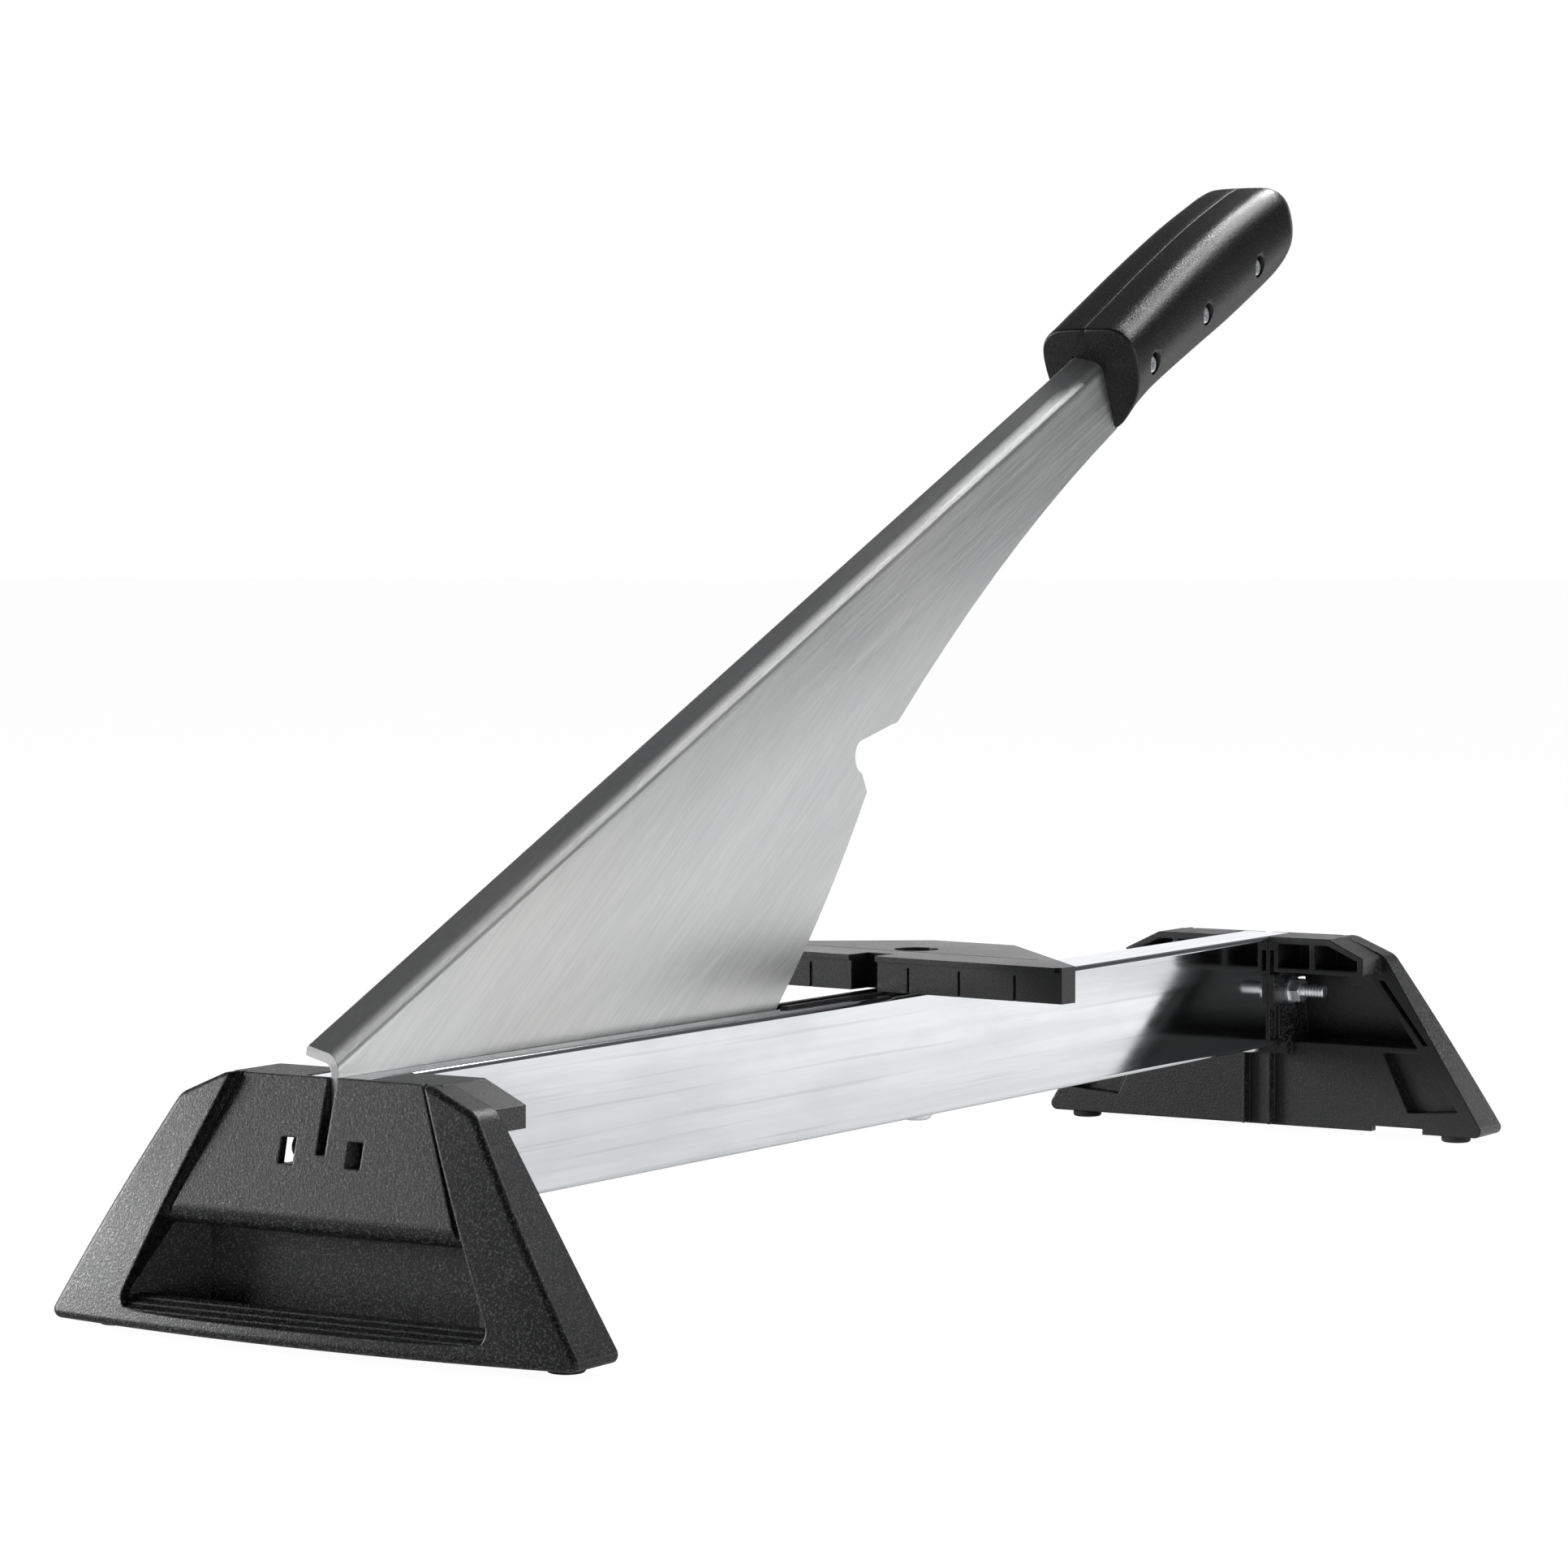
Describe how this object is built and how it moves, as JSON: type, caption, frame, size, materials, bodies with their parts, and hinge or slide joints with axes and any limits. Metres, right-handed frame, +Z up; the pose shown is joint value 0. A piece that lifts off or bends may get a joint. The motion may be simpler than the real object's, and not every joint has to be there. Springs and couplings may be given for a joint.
{
  "type": "floor tile guillotine cutter",
  "caption": "Guillotine cutter for vinyl and carpet floor tiles: lever blade with handle, slotted tube rail, two splayed feet and a swivelling fence.",
  "frame": {"origin": "on the floor under the middle of the rail", "axes": "+X along the rail from the blade's pivot end to the far end, +Z up, +Y to the side the blade's back is bent over to"},
  "size_m": [0.754, 0.2162, 0.4253],
  "materials": {
    "rail_steel": "bright zinc-plated steel tube",
    "blade_steel": "brushed plate",
    "foot_plastic": "fine moulded texture",
    "handle_plastic": "fine moulded texture",
    "fence_plastic": "smooth moulded",
    "guide_plastic": "smooth moulded",
    "pad_rubber": "soft matt",
    "fastener_zinc": "bright zinc plating",
    "spacer_nylon": "natural nylon",
    "bush_bronze": "sintered bronze"
  },
  "bodies": {
    "base": {"rail_tube": "rail_steel", "near_foot": "foot_plastic", "far_foot": "foot_plastic", "near_foot_pads": "pad_rubber", "far_foot_pads": "pad_rubber", "foot_stop_screws": "fastener_zinc", "far_cross_bolt": "fastener_zinc", "far_bolt_washers": "fastener_zinc", "far_bolt_nut": "fastener_zinc", "pivot_bolt": "fastener_zinc", "pivot_washers": "fastener_zinc", "pivot_nut": "fastener_zinc", "pivot_spacers": "spacer_nylon", "guide_insert": "guide_plastic", "fence_bolt": "fastener_zinc", "fence_washer": "fastener_zinc", "fence_nut": "fastener_zinc"},
    "arm": {"blade_arm": "blade_steel", "pivot_bush": "bush_bronze", "handle_right_shell": "handle_plastic", "handle_left_shell": "handle_plastic", "handle_screws": "fastener_zinc"},
    "fence": {"mitre_fence": "fence_plastic"}
  },
  "joints": [
    {"name": "arm_pivot", "type": "hinge", "parent": "base", "child": "arm", "pos_m": [-0.342, 0, 0.065], "axis": [0, -1, 0], "range_deg": [-13.5, 45]},
    {"name": "fence_swivel", "type": "hinge", "parent": "base", "child": "fence", "pos_m": [0.0328, 0, 0.091], "axis": [0, 0, -1], "range_deg": [-13.2, 0.8]}
  ]
}
